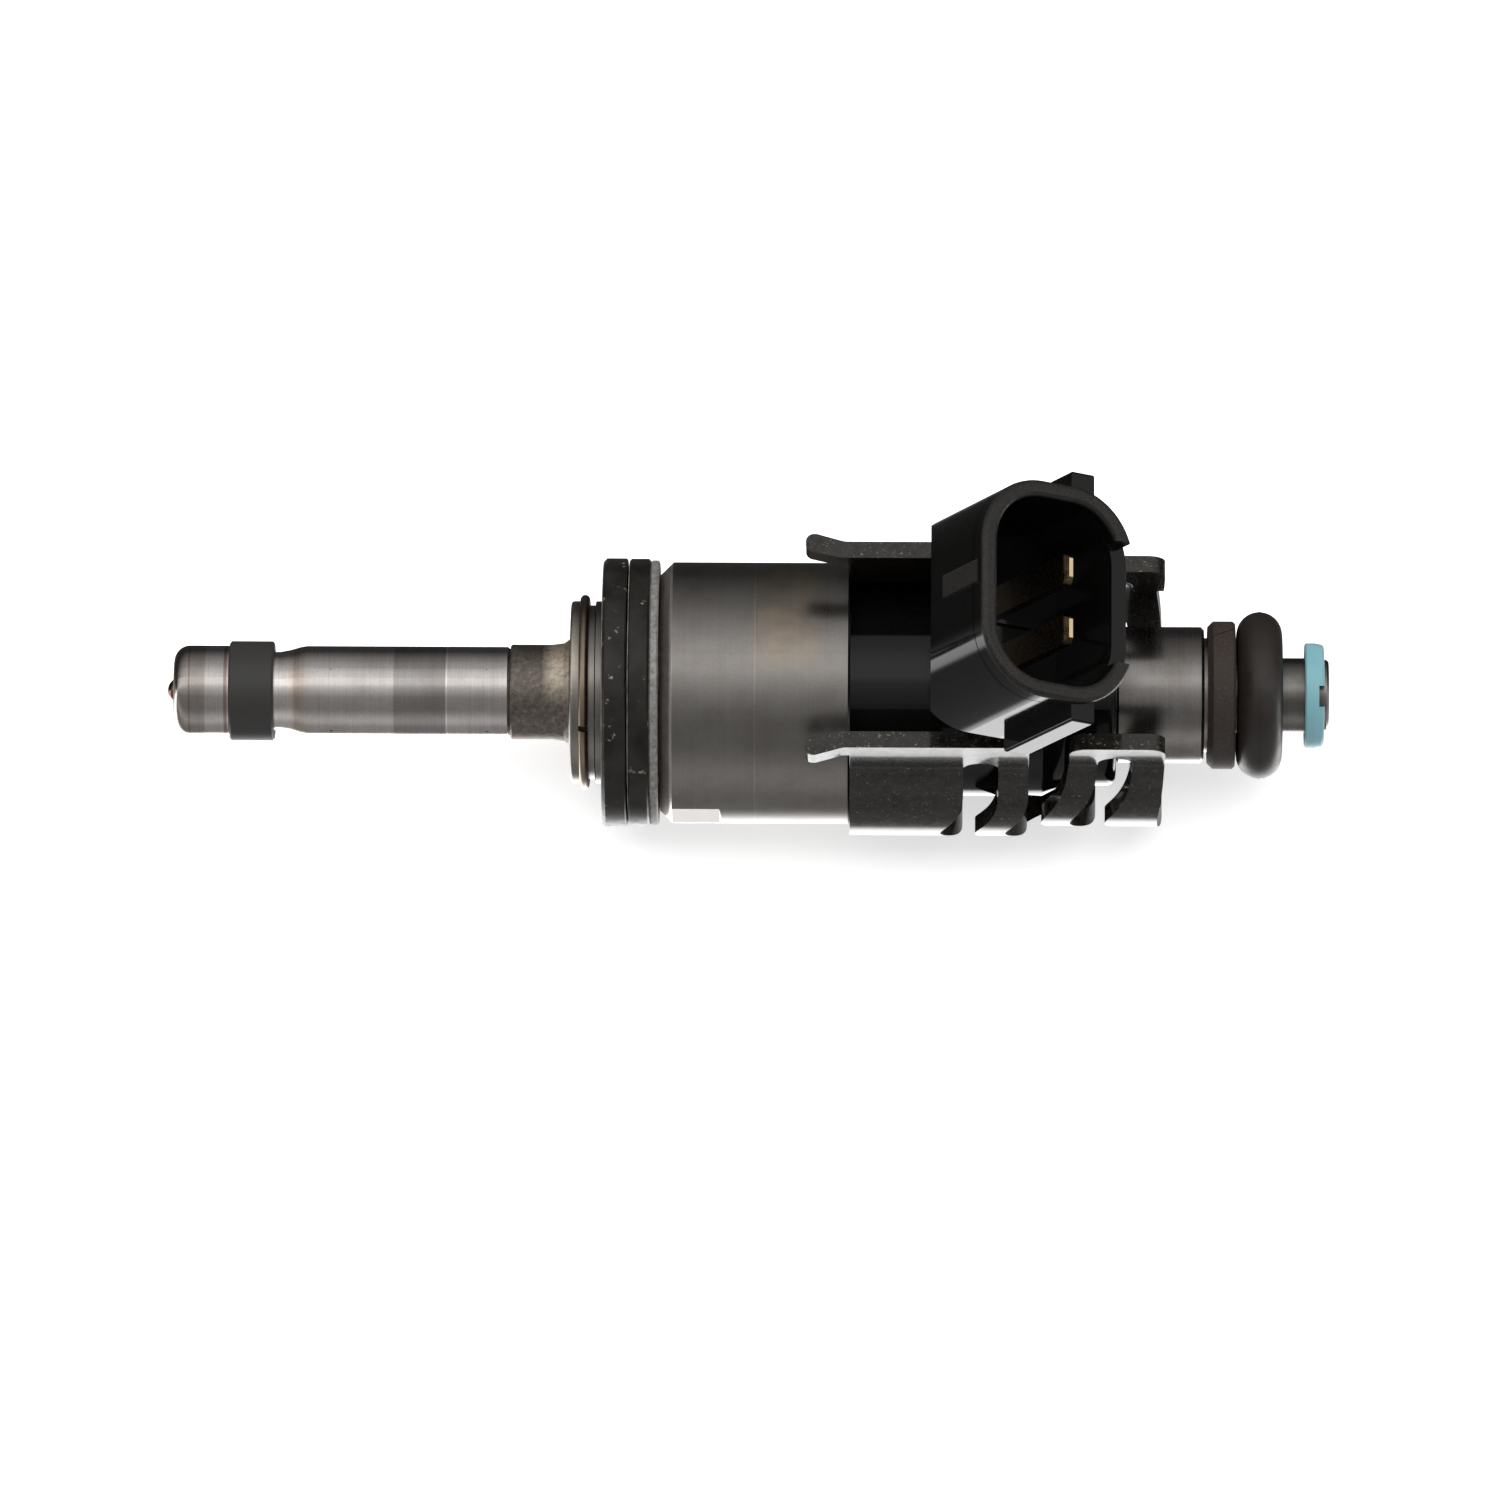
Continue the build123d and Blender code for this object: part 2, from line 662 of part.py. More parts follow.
def bowed_edge(x, bow, top_z, bottom_z):
    """One band edge: straight at the front and the back, bowed towards -X at the side."""
    depth, high = bow
    points = [(x, high), (x - depth, CLIP_BOW_Z), (x, CLIP_BOW_BACK_Z)]
    curve = Spline(*points, tangents=[(0, -1), (0, -1)])
    return Line((x, top_z), points[0]), curve, Line(points[-1], (x, bottom_z))


def through_y(edges):
    """A cutter with this outline in the XZ plane, running right through the clip."""
    return extrude(Plane.XZ * make_face(edges), amount=FAR / 2, both=True)


def clip_slot(x_range, bow):
    """A slot with a round top at the front that stays open right round the back."""
    low, high = x_range
    half = (high - low) / 2
    top = CLIP_SLOT_TOP_Z - half
    high_z = min(bow[1], top - 0.05)
    bow = (bow[0], high_z)
    crown = ThreePointArc((low, top), (low + half, CLIP_SLOT_TOP_Z), (high, top))
    sides = [*bowed_edge(low, bow, top, -FAR), *bowed_edge(high, bow, top, -FAR)]
    return through_y([*sides, crown, Line((low, -FAR), (high, -FAR))])


def clip_gap():
    """The gap between the two rings: open at the front, closed by the tie at the back."""
    low, high = CLIP_LOW_X[1], CLIP_HIGH_X[0]
    bottom = CLIP_TIE_Z + CLIP_TIE_ROUND
    end = ThreePointArc((low, bottom), ((low + high) / 2, CLIP_TIE_Z), (high, bottom))
    sides = [*bowed_edge(low, CLIP_LOW_BOW, FAR, bottom), *bowed_edge(high, CLIP_HIGH_BOW, FAR, bottom)]
    return through_y([*sides, end, Line((low, FAR), (high, FAR))])


def clip_end():
    """What is cut off beyond the last band, whose edge bows only a little."""
    x = CLIP_HIGH_X[1]
    rest = Polyline((x, -FAR), (x + 9, -FAR), (x + 9, FAR), (x, FAR))
    return through_y([*bowed_edge(x, CLIP_END_BOW, FAR, -FAR), rest])


def along_x(section, x_range):
    """A section drawn in the YZ plane, drawn out between two places on the axis."""
    low, high = x_range
    return Pos(low, 0, 0) * extrude(Plane.YZ * section, amount=high - low)


def round_lips(open_ring, lip_z, x_places, size):
    """Rounds the upper corners of both lips at these places along the axis."""
    corners = open_ring.edges().filter_by(Axis.Y)
    corners = corners.filter_by(lambda edge: abs(edge.center().Z - lip_z) < 0.01)
    corners = [edge for edge in corners if min(abs(edge.center().X - x) for x in x_places) < 0.01]
    return fillet(corners, size)


def ear(side):
    """The lip's forward finger, with its tip bent outwards and its corners rounded."""
    lip_in, lip_out = CLIP_LOW_LIP_Y - SHEET, CLIP_LOW_LIP_Y
    root_x = CLIP_LOW_X[0] + 0.5
    outline = [
        (root_x, lip_in),
        (EAR_X + 2.8, lip_in),
        (EAR_X, lip_in + EAR_FLARE),
        (EAR_X, lip_out + EAR_FLARE),
        (EAR_X + 0.9, lip_out + EAR_FLARE),
        (EAR_X + 3.2, lip_out),
        (root_x, lip_out),
    ]
    face = make_face(Polyline(*[(x, side * y) for x, y in outline], close=True))
    for x, y, size in (
        (EAR_X, lip_in + EAR_FLARE, 0.66),
        (EAR_X, lip_out + EAR_FLARE, 0.66),
        (EAR_X + 2.8, lip_in, 2.0),
        (EAR_X + 3.2, lip_out, 2.0),
    ):
        corner = face.vertices().sort_by_distance((x, side * y, 0))[0]
        face = fillet(corner, size)
    finger = Pos(0, 0, EAR_Z) * extrude(face, amount=CLIP_LOW_LIP_Z - EAR_Z, dir=(0, 0, 1))
    return finger


def retaining_clip():
    low_section = clip_section(CLIP_LOW_R, CLIP_LOW_BACK_Z, CLIP_LOW_LIP_Y, CLIP_LOW_LIP_Z)
    high_section = clip_section(CLIP_HIGH_R, CLIP_HIGH_BACK_Z, CLIP_HIGH_LIP_Y, CLIP_HIGH_LIP_Z)
    low_ring = along_x(low_section, CLIP_LOW_X)
    low_ring = round_lips(low_ring, CLIP_LOW_LIP_Z, [CLIP_LOW_X[1]], 0.9)
    high_ring = along_x(high_section, CLIP_HIGH_X)
    high_ring = round_lips(high_ring, CLIP_HIGH_LIP_Z, CLIP_HIGH_X, 1.5)
    bow_x = (CLIP_HIGH_X[0] - CLIP_HIGH_BOW[0] - 0.2, CLIP_HIGH_X[0])
    bow_room = along_x(high_section, bow_x)
    high_ring += bow_room & block(bow_x, (-FAR, FAR), (-FAR, CLIP_HIGH_BOW[1] + 0.1))
    back = Pos(0, CLIP_TIE_Z + CLIP_TIE_ROUND - FAR) * Rectangle(4 * FAR, 2 * FAR)
    ends = [
        Pos(x, 0, 0) * (Plane.YZ * (section & back)).faces()[0]
        for x, section in ((CLIP_LOW_X[1], low_section), (CLIP_HIGH_X[0], high_section))
    ]
    clip = low_ring + high_ring + loft(ends, ruled=True)
    clip = clip + ear(1) + ear(-1)
    clip -= clip_gap()
    clip -= clip_end()
    for slot, bow in zip(CLIP_SLOTS_X, (CLIP_LOW_BOW, CLIP_HIGH_BOW)):
        clip -= clip_slot(slot, bow)
    return clip


PIECES = {
    "valve_seat": valve_seat,
    "nozzle_tube": nozzle_tube,
    "combustion_seal": combustion_seal,
    "valve_ball": valve_ball,
    "valve_needle": valve_needle,
    "upper_guide": upper_guide,
    "valve_body": valve_body,
    "snap_ring": snap_ring,
    "support_washer": support_washer,
    "decoupling_ring": decoupling_ring,
    "spacer_ring": spacer_ring,
    "solenoid_housing": solenoid_housing,
    "bridge_ring": bridge_ring,
    "armature": armature,
    "pole_piece": pole_piece,
    "flux_washer": flux_washer,
    "coil_bobbin": coil_bobbin,
    "coil_winding": coil_winding,
    "return_spring": return_spring,
    "adjusting_tube": adjusting_tube,
    "inlet_tube": inlet_tube,
    "backup_ring": backup_ring,
    "inlet_o_ring": inlet_o_ring,
    "end_ring": end_ring,
    "filter_frame": filter_frame,
    "filter_mesh": filter_mesh,
    "connector_overmold": connector_overmold,
    "retaining_clip": retaining_clip,
}


def main():
    os.makedirs("parts", exist_ok=True)
    for name, make in PIECES.items():
        export_step(make(), f"parts/{name}.step")
    export_step(terminal(1), "parts/terminal_left.step")
    export_step(terminal(-1), "parts/terminal_right.step")


main()
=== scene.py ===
import json
import math

import bpy
from mathutils import Matrix, Vector


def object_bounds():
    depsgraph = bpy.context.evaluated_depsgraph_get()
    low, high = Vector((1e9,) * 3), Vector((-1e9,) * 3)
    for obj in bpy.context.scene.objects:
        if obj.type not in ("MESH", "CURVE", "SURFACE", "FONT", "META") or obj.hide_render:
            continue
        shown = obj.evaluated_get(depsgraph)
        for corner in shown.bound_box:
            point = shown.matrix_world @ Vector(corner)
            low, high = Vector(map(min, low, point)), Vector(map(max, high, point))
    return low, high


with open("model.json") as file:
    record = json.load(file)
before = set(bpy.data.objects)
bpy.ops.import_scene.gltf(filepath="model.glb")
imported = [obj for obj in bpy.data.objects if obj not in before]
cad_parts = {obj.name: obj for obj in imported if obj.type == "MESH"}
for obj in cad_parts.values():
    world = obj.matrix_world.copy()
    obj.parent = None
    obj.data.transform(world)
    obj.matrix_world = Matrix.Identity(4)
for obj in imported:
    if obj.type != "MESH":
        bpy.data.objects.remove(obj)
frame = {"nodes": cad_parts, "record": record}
CAD_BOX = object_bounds()
MM = 0.001
NODES = frame["nodes"]
MOUNTS = {mount["name"]: mount for mount in frame["record"]["mounts"]}

# ---- camera, floor and light, in metres ------------------------------------------------------
ELEVATION = math.radians(73.0)
ROLL = math.radians(0.27)
CAMERA_DISTANCE = 1.243
CAMERA_X = 26.2 * MM
TARGET_X = 12.25 * MM
AIM_SHIFT = -4.75 * MM  # moves camera and target together along the picture's height
VIEW_WIDTH = 0.125
SENSOR_MM = 36.0
CLIP_NEAR = 0.05
CLIP_FAR = 20
FLOOR_HALF = 40.0
FLOOR_GREY = 0.88
FLOOR_GLOW = 0.60
BACKDROP_GREY = 0.95
SOFTBOX_WIDTH = 2.4
SOFTBOX_DEPTH = 1.6
SOFTBOX_DISTANCE = 1.5
SOFTBOX_LEAN = math.radians(18)
SOFTBOX_WATTS = 27.0
# the light tent's brightness by the angle round the axis, in degrees from overhead towards +Y
TENT = (
    (-180, 3.70), (-164, 3.40), (-154, 0.26), (-124, 0.32), (-100, 0.54), (-64, 0.24),
    (-34, 0.27), (-22, 0.44), (-9, 0.66), (3, 1.22), (18, 1.12), (36, 0.72), (54, 0.42),
    (74, 0.25), (92, 0.12), (106, 0.04), (148, 0.04), (164, 0.35), (180, 3.70),
)


def grey(value):
    return (value, value, value)


def fill_ramp(ramp, stops):
    """Sets a colour ramp from (place, colour or grey level) stops."""
    points = ramp.elements
    while len(points) < len(stops):
        points.new(0.5)
    for point, (at, colour) in zip(points, stops):
        point.position = at
        point.color = (*(colour if isinstance(colour, tuple) else grey(colour)), 1)


def add_camera():
    towards = Vector((0, -math.cos(ELEVATION), math.sin(ELEVATION)))
    up = Vector((0, math.sin(ELEVATION), math.cos(ELEVATION)))
    target = Vector((TARGET_X, 0, 0)) + AIM_SHIFT * up
    place = Vector((CAMERA_X, 0, 0)) + AIM_SHIFT * up + CAMERA_DISTANCE * towards
    data = bpy.data.cameras.new("photo_camera")
    data.sensor_width = SENSOR_MM
    data.lens = SENSOR_MM * (place - target).length / VIEW_WIDTH
    data.clip_start = CLIP_NEAR
    data.clip_end = CLIP_FAR
    camera = bpy.data.objects.new("photo_camera", data)
    back = (place - target).normalized()
    right = up.cross(back).normalized()
    upright = back.cross(right)
    turn = Matrix((right, upright, back)).transposed() @ Matrix.Rotation(ROLL, 3, "Z")
    camera.matrix_world = Matrix.Translation(place) @ turn.to_4x4()
    bpy.context.scene.collection.objects.link(camera)
    bpy.context.scene.camera = camera


def pale_floor():
    material = bpy.data.materials.new("pale_floor")
    material.use_nodes = True
    shader = material.node_tree.nodes["Principled BSDF"]
    shader.inputs["Base Color"].default_value = (*grey(FLOOR_GREY), 1)
    shader.inputs["Roughness"].default_value = 0.9
    shader.inputs["Specular IOR Level"].default_value = 0.1
    # glows a little, as on a light table
    shader.inputs["Emission Color"].default_value = (1, 1, 1, 1)
    shader.inputs["Emission Strength"].default_value = FLOOR_GLOW
    return material


def add_floor():
    """A wide pale floor that the injector rests on."""
    half = FLOOR_HALF
    corners = [(-half, -half, 0), (half, -half, 0), (half, half, 0), (-half, half, 0)]
    mesh = bpy.data.meshes.new("floor")
    mesh.from_pydata(corners, [], [(0, 1, 2, 3)])
    mesh.materials.append(pale_floor())
    floor = bpy.data.objects.new("floor", mesh)
    floor.location.z = CAD_BOX[0][2]
    # reflections see the tent all round, below the injector as well
    floor.visible_glossy = False
    bpy.context.scene.collection.objects.link(floor)


def tent_shade(tree):
    """The light tent's brightness, in the world's node tree."""
    place = tree.nodes.new("ShaderNodeTexCoord")
    split = tree.nodes.new("ShaderNodeSeparateXYZ")
    angle = tree.nodes.new("ShaderNodeMath")
    angle.operation = "ARCTAN2"
    turn = tree.nodes.new("ShaderNodeMapRange")
    turn.inputs["From Min"].default_value = -math.pi
    turn.inputs["From Max"].default_value = math.pi
    shade = tree.nodes.new("ShaderNodeValToRGB")
    shade.color_ramp.interpolation = "EASE"
    fill_ramp(shade.color_ramp, [((degrees + 180) / 360, value) for degrees, value in TENT])
    join = tree.links.new
    join(place.outputs["Generated"], split.inputs[0])
    join(split.outputs["Y"], angle.inputs[0])
    join(split.outputs["Z"], angle.inputs[1])
    join(angle.outputs[0], turn.inputs["Value"])
    join(turn.outputs[0], shade.inputs[0])
    return shade.outputs[0]


def add_surroundings():
    """A light tent round the injector, and a backdrop as pale as the floor behind it."""
    world = bpy.data.worlds.new("light_tent")
    bpy.context.scene.world = world
    world.use_nodes = True
    world.cycles.sampling_method = "NONE"
    tree = world.node_tree
    sky = tree.nodes["Background"]
    pale = tree.nodes.new("ShaderNodeBackground")
    pale.inputs["Color"].default_value = (*grey(BACKDROP_GREY), 1)
    rays = tree.nodes.new("ShaderNodeLightPath")
    choose = tree.nodes.new("ShaderNodeMixShader")
    join = tree.links.new
    join(tent_shade(tree), sky.inputs["Color"])
    join(rays.outputs["Is Camera Ray"], choose.inputs[0])
    join(sky.outputs[0], choose.inputs[1])
    join(pale.outputs[0], choose.inputs[2])
    join(choose.outputs[0], tree.nodes["World Output"].inputs["Surface"])


def add_softbox():
    """The overhead light that gives the floor its brightness and the soft shadows."""
    data = bpy.data.lights.new("softbox", "AREA")
    data.shape = "RECTANGLE"
    data.size = SOFTBOX_WIDTH
    data.size_y = SOFTBOX_DEPTH
    data.energy = SOFTBOX_WATTS
    light = bpy.data.objects.new("softbox", data)
    lean = SOFTBOX_LEAN
    light.location = SOFTBOX_DISTANCE * Vector((0, math.sin(lean), math.cos(lean)))
    light.rotation_euler = (-lean, 0, 0)
    light.visible_camera = False
    light.visible_glossy = False
    bpy.context.scene.collection.objects.link(light)


def set_stage():
    add_camera()
    add_floor()
    add_surroundings()
    add_softbox()
    bpy.context.scene.view_settings.view_transform = "Standard"


set_stage()


# ---- node helpers ----------------------------------------------------------------------------
class Nodes:
    """A material's node tree with short ways to add and join nodes."""

    def __init__(self, name):
        self.material = bpy.data.materials.new(name)
        self.material.use_nodes = True
        self.tree = self.material.node_tree
        self.shader = self.tree.nodes["Principled BSDF"]
        self.place = self.add("ShaderNodeTexCoord").outputs["Object"]

    def add(self, kind, **settings):
        node = self.tree.nodes.new(kind)
        for key, value in settings.items():
            setattr(node, key, value)
        return node

    def join(self, source, target):
        self.tree.links.new(source, target)

    def feed(self, socket, value):
        """Puts a number, colour or another node's output into a socket."""
        if isinstance(value, bpy.types.NodeSocket):
            self.join(value, socket)
        elif isinstance(value, tuple):
            socket.default_value = (*value, 1)
        else:
            socket.default_value = value

    def set(self, **sockets):
        """Feeds the shader's sockets, named with _ for a space."""
        for name, value in sockets.items():
            self.feed(self.shader.inputs[name.replace("_", " ")], value)

    def math(self, operation, a, b=0.0, clamp=False):
        node = self.add("ShaderNodeMath", operation=operation, use_clamp=clamp)
        self.feed(node.inputs[0], a)
        self.feed(node.inputs[1], b)
        return node.outputs[0]

    def axes(self):
        split = self.add("ShaderNodeSeparateXYZ")
        self.join(self.place, split.inputs[0])
        return split.outputs

    def radius(self):
        """Distance from the injector's axis, in metres."""
        _, y, z = self.axes()
        square = self.math("ADD", self.math("MULTIPLY", y, y), self.math("MULTIPLY", z, z))
        return self.math("SQRT", square)

    def stretched(self, scale):
        """The object coordinates multiplied by a scale for each axis."""
        node = self.add("ShaderNodeVectorMath", operation="MULTIPLY")
        self.join(self.place, node.inputs[0])
        node.inputs[1].default_value = scale
        return node.outputs[0]

    def noise(self, scale, stretch=(1, 1, 1), detail=4.0, roughness=0.55):
        """Noise from 0 to 1; scale is its detail per metre."""
        node = self.add("ShaderNodeTexNoise")
        self.join(self.stretched(stretch), node.inputs["Vector"])
        node.inputs["Scale"].default_value = scale
        node.inputs["Detail"].default_value = detail
        node.inputs["Roughness"].default_value = roughness
        return node.outputs["Fac"]

    def cells(self, scale):
        node = self.add("ShaderNodeTexVoronoi")
        self.join(self.place, node.inputs["Vector"])
        node.inputs["Scale"].default_value = scale
        return node.outputs["Distance"]

    def ramp(self, value, stops):
        """A value's colour from (place, colour or grey level) stops."""
        node = self.add("ShaderNodeValToRGB")
        self.feed(node.inputs[0], value)
        fill_ramp(node.color_ramp, stops)
        return node.outputs[0]

    def between(self, value, low, high, low_out=0.0, high_out=1.0):
        """A value's place between low and high, as a number between the two outputs."""
        node = self.add("ShaderNodeMapRange")
        self.feed(node.inputs["Value"], value)
        node.inputs["From Min"].default_value = low
        node.inputs["From Max"].default_value = high
        node.inputs["To Min"].default_value = low_out
        node.inputs["To Max"].default_value = high_out
        return node.outputs[0]

    def mix(self, share, a, b, blend="MIX"):
        node = self.add("ShaderNodeMix", data_type="RGBA", blend_type=blend)
        self.feed(node.inputs[0], share)
        self.feed(node.inputs[6], a)
        self.feed(node.inputs[7], b)
        return node.outputs[2]

    def times(self, a, b):
        """The product of two colours."""
        return self.mix(1.0, a, b, "MULTIPLY")

    def bump(self, height, height_mm):
        """Adds relief of a height in mm to any relief that the shader has."""
        node = self.add("ShaderNodeBump")
        node.inputs["Distance"].default_value = height_mm * MM
        node.inputs["Strength"].default_value = 1.0
        self.feed(node.inputs["Height"], height)
        normal = self.shader.inputs["Normal"]
        if normal.is_linked:
            self.join(normal.links[0].from_socket, node.inputs["Normal"])
        self.join(node.outputs[0], normal)


def band(n, low, high, soft):
    """1 between two places on the axis in mm, fading to 0 over a soft width."""
    x = n.axes()[0]
    rise = n.between(x, (low - soft) * MM, low * MM)
    fall = n.between(x, high * MM, (high + soft) * MM, 1.0, 0.0)
    return n.math("MULTIPLY", rise, fall)


def tint(n, base, mask, colour):
    """Multiplies the base colour by a colour where the mask is 1."""
    return n.times(base, n.mix(mask, grey(1.0), colour))


def tint_bands(n, base, *bands):
    """Tints bands on the axis, each with its low, high and soft width in mm and its colour."""
    for low, high, soft, colour in bands:
        base = tint(n, base, band(n, low, high, soft), colour)
    return base


def speckled(n, colour, flecks, scale, share, soft=0.06):
    """A colour with scattered flecks of another where noise passes 1 - share."""
    fine = n.noise(scale, detail=6.0, roughness=0.7)
    return n.mix(n.between(fine, 1 - share, 1 - share + soft), colour, flecks)


def worn(n, scale, share, soft=0.05):
    """A mask of scattered worn spots; share is roughly how much of the surface they take."""
    edge = 0.78 - share
    return n.between(n.noise(scale, detail=6.0, roughness=0.7), edge, edge + soft)


def turning_marks(n, height_mm):
    """Fine rings round the axis as a lathe leaves them, as shade and as bump."""
    rings = n.noise(9000, stretch=(1, 0.012, 0.012), detail=3.0)
    broad = n.noise(1400, stretch=(1, 0.03, 0.03))
    both = n.math("ADD", n.math("MULTIPLY", rings, 0.55), n.math("MULTIPLY", broad, 0.45))
    n.bump(both, height_mm)
    return both


def steel(name, colour, rough, marks=0.002, spread=0.10, stains=0.12):
    """Turned steel: ring marks, soft stains and a roughness that varies with both."""
    n = Nodes(name)
    rings = turning_marks(n, marks)
    tone = n.mix(n.between(rings, 0.3, 0.7), grey(1.0 - spread), grey(1.0 + spread))
    base = n.times(colour, tone)
    cloud = n.noise(330, detail=5.0)
    stained = (1 - stains, 1 - 1.15 * stains, 1 - 1.3 * stains)
    base = n.times(base, n.ramp(cloud, ((0.35, stained), (0.6, 1.0))))
    fine = n.noise(6000, detail=3.0, roughness=0.7)
    base = n.times(base, n.ramp(fine, ((0.35, 0.90), (0.65, 1.0))))
    n.set(Base_Color=base, Metallic=1.0)
    n.set(Roughness=n.between(n.math("ADD", rings, cloud), 0.6, 1.4, rough * 0.85, rough * 1.2))
    return n, base


def socket_axes(n):
    """Places across the connector and above its mouth in mm, in its own tilted frame."""
    mouth = MOUNTS["electrical_connector"]
    up = Vector(mouth["axis"])
    places = []
    for direction in (Vector((up.z, 0, -up.x)), up):
        along = n.add("ShaderNodeVectorMath", operation="DOT_PRODUCT")
        n.join(n.place, along.inputs[0])
        along.inputs[1].default_value = direction
        start = direction.dot(Vector(mouth["pos_m"]))
        offset = n.math("SUBTRACT", along.outputs["Value"], start)
        places.append(n.math("MULTIPLY", offset, 1 / MM))
    return places


# ---- materials: one for each material slot, with places and heights in mm ---------------------
def nozzle_steel():
    n, base = steel("nozzle_steel", (0.66, 0.622, 0.60), 0.18, marks=0.0016)
    base = tint_bands(
        n,
        base,
        (-17.3, -13.1, 0.15, (0.66, 0.66, 0.66)),
        (-13.05, -12.95, 0.05, (1.5, 1.5, 1.5)),
        (-25.7, -25.1, 0.8, (0.93, 0.86, 0.78)),
        (-34.45, -34.35, 0.05, (0.74, 0.64, 0.58)),
        (-31.5, -31.3, 0.08, (0.62, 0.50, 0.46)),
        # painted highlight: the taper beside the seal is brightened to stand in for its bright
        # reflection
        (-27.2, -25.9, 0.3, (1.35, 1.35, 1.35)),
        (-37.0, -33.2, 0.2, (0.70, 0.68, 0.66)),
    )
    dome = n.between(n.radius(), 0.8 * MM, 1.3 * MM, 1.0, 0.0)
    end = n.math("MULTIPLY", dome, band(n, -37.0, -35.7, 0.1))
    n.set(Base_Color=tint(n, base, end, (0.42, 0.22, 0.14)))
    return n.material


def ptfe_seal():
    n = Nodes("ptfe_seal")
    base = speckled(n, (0.022, 0.021, 0.020), (0.060, 0.058, 0.056), 7000, 0.38)
    n.set(Base_Color=base, Roughness=0.55)
    n.bump(n.noise(6000, detail=5.0), 0.006)
    return n.material


def heat_tinted_steel():
    """Plain steel with a brown mottled sleeve, and painted highlights: a paler patch on the +Y
    side where the sleeve flares, and a bright line on the sleeve's left end.
    """
    n, base = steel("heat_tinted_steel", (0.33, 0.31, 0.29), 0.32, marks=0.003)
    sleeve = band(n, -8.0, -2.95, 0.35)
    mottle = n.noise(2400, detail=6.0, roughness=0.7)
    browns = (
        (0.34, (0.15, 0.125, 0.105)),
        (0.54, (0.23, 0.20, 0.175)),
        (0.72, (0.36, 0.33, 0.295)),
    )
    base = n.mix(sleeve, base, n.ramp(mottle, browns))
    # painted highlight: a pale cream patch on the +Y side of the flare, where the light falls
    side = n.between(n.axes()[1], -2.5 * MM, 1.5 * MM)
    pale = n.math("MULTIPLY", band(n, -4.2, -2.8, 0.9), side)
    pale = n.math("MULTIPLY", pale, n.between(mottle, 0.36, 0.54, 0.50, 1.0))
    base = n.mix(pale, base, (0.86, 0.75, 0.60))
    base = tint_bands(
        n,
        base,
        # painted highlight: a bright line on the sleeve's left end
        (-8.10, -7.80, 0.03, (3.0, 3.0, 3.0)),
        (-1.9, -1.2, 0.05, (0.60, 0.50, 0.42)),
    )
    n.set(Base_Color=base, Roughness=n.between(sleeve, 0, 1, 0.30, 0.5))
    n.bump(n.math("MULTIPLY", mottle, sleeve), 0.03)
    return n.material


def bronze_spring_wire():
    return steel("bronze_spring_wire", (0.36, 0.29, 0.22), 0.30, stains=0.25)[0].material


def blackened_steel():
    """Black rings with worn spots and bare outer rims."""
    n = Nodes("blackened_steel")
    cloud = n.between(n.noise(420, detail=5.0), 0.35, 0.65)
    base = n.mix(cloud, (0.006, 0.005, 0.004), (0.016, 0.014, 0.012))
    base = n.mix(worn(n, 2600, 0.10), base, (0.13, 0.115, 0.085))
    base = n.mix(worn(n, 700, 0.16), base, (0.22, 0.20, 0.17))
    rims = n.math("ADD", band(n, 0.0, 0.06, 0.02), band(n, 2.17, 2.23, 0.02), clamp=True)
    rims = n.math("MULTIPLY", rims, n.between(n.radius(), 10.85 * MM, 10.95 * MM))
    bare = n.between(n.noise(700, detail=5.0), 0.35, 0.65, 0.25, 0.95)
    base = n.mix(n.math("MULTIPLY", rims, bare), base, (0.30, 0.285, 0.26))
    n.set(Base_Color=base, Roughness=n.between(n.noise(900), 0.3, 0.7, 0.25, 0.42))
    n.set(Metallic=0.0, Specular_IOR_Level=0.30)
    n.bump(n.noise(2600, detail=6.0, roughness=0.7), 0.01)
    return n.material


def rough_grey_ring():
    n = Nodes("rough_grey_ring")
    greys = ((0.30, (0.11, 0.105, 0.10)), (0.70, (0.36, 0.345, 0.325)))
    n.set(Base_Color=n.ramp(n.noise(2300, detail=6.0, roughness=0.7), greys))
    n.set(Roughness=0.55, Metallic=0.5)
    n.bump(n.noise(2300, detail=6.0), 0.02)
    return n.material


def turned_steel():
    """The housing: a warm patch on its +Y side, a bright front edge that is a painted highlight,
    and one fine ring.
    """
    n, base = steel("turned_steel", (0.300, 0.282, 0.266), 0.30, marks=0.0016, spread=0.06)
    warm = n.math("MULTIPLY", band(n, 14.0, 16.5, 2.2), n.between(n.noise(160), 0.32, 0.52))
    warm = n.math("MULTIPLY", warm, n.between(n.axes()[1], -2.0 * MM, 1.0 * MM))
    base = tint(n, base, warm, (1.32, 1.14, 0.90))
    base = tint_bands(
        n,
        base,
        # painted highlight: the chamfer and the edge at the housing's front end are brightened
        (5.2, 5.6, 0.3, (2.3, 2.3, 2.3)),
        (5.66, 5.80, 0.05, (3.0, 3.0, 3.0)),
        (12.68, 12.74, 0.04, (1.25, 1.25, 1.25)),
    )
    n.set(Base_Color=base)
    return n.material


def inner_steel():
    return steel("inner_steel", (0.50, 0.50, 0.49), 0.30)[0].material


def coil_plastic():
    n = Nodes("coil_plastic")
    base = n.mix(n.noise(900), (0.50, 0.45, 0.35), (0.60, 0.55, 0.45))
    n.set(Base_Color=base, Roughness=0.5)
    n.bump(n.noise(5000), 0.004)
    return n.material


def copper_wire():
    n = Nodes("copper_wire")
    turns = n.noise(2500, stretch=(1, 0.01, 0.01))
    base = n.mix(turns, (0.42, 0.17, 0.08), (0.62, 0.30, 0.14))
    n.set(Base_Color=base, Metallic=1.0, Roughness=0.35)
    n.bump(turns, 0.02)
    return n.material


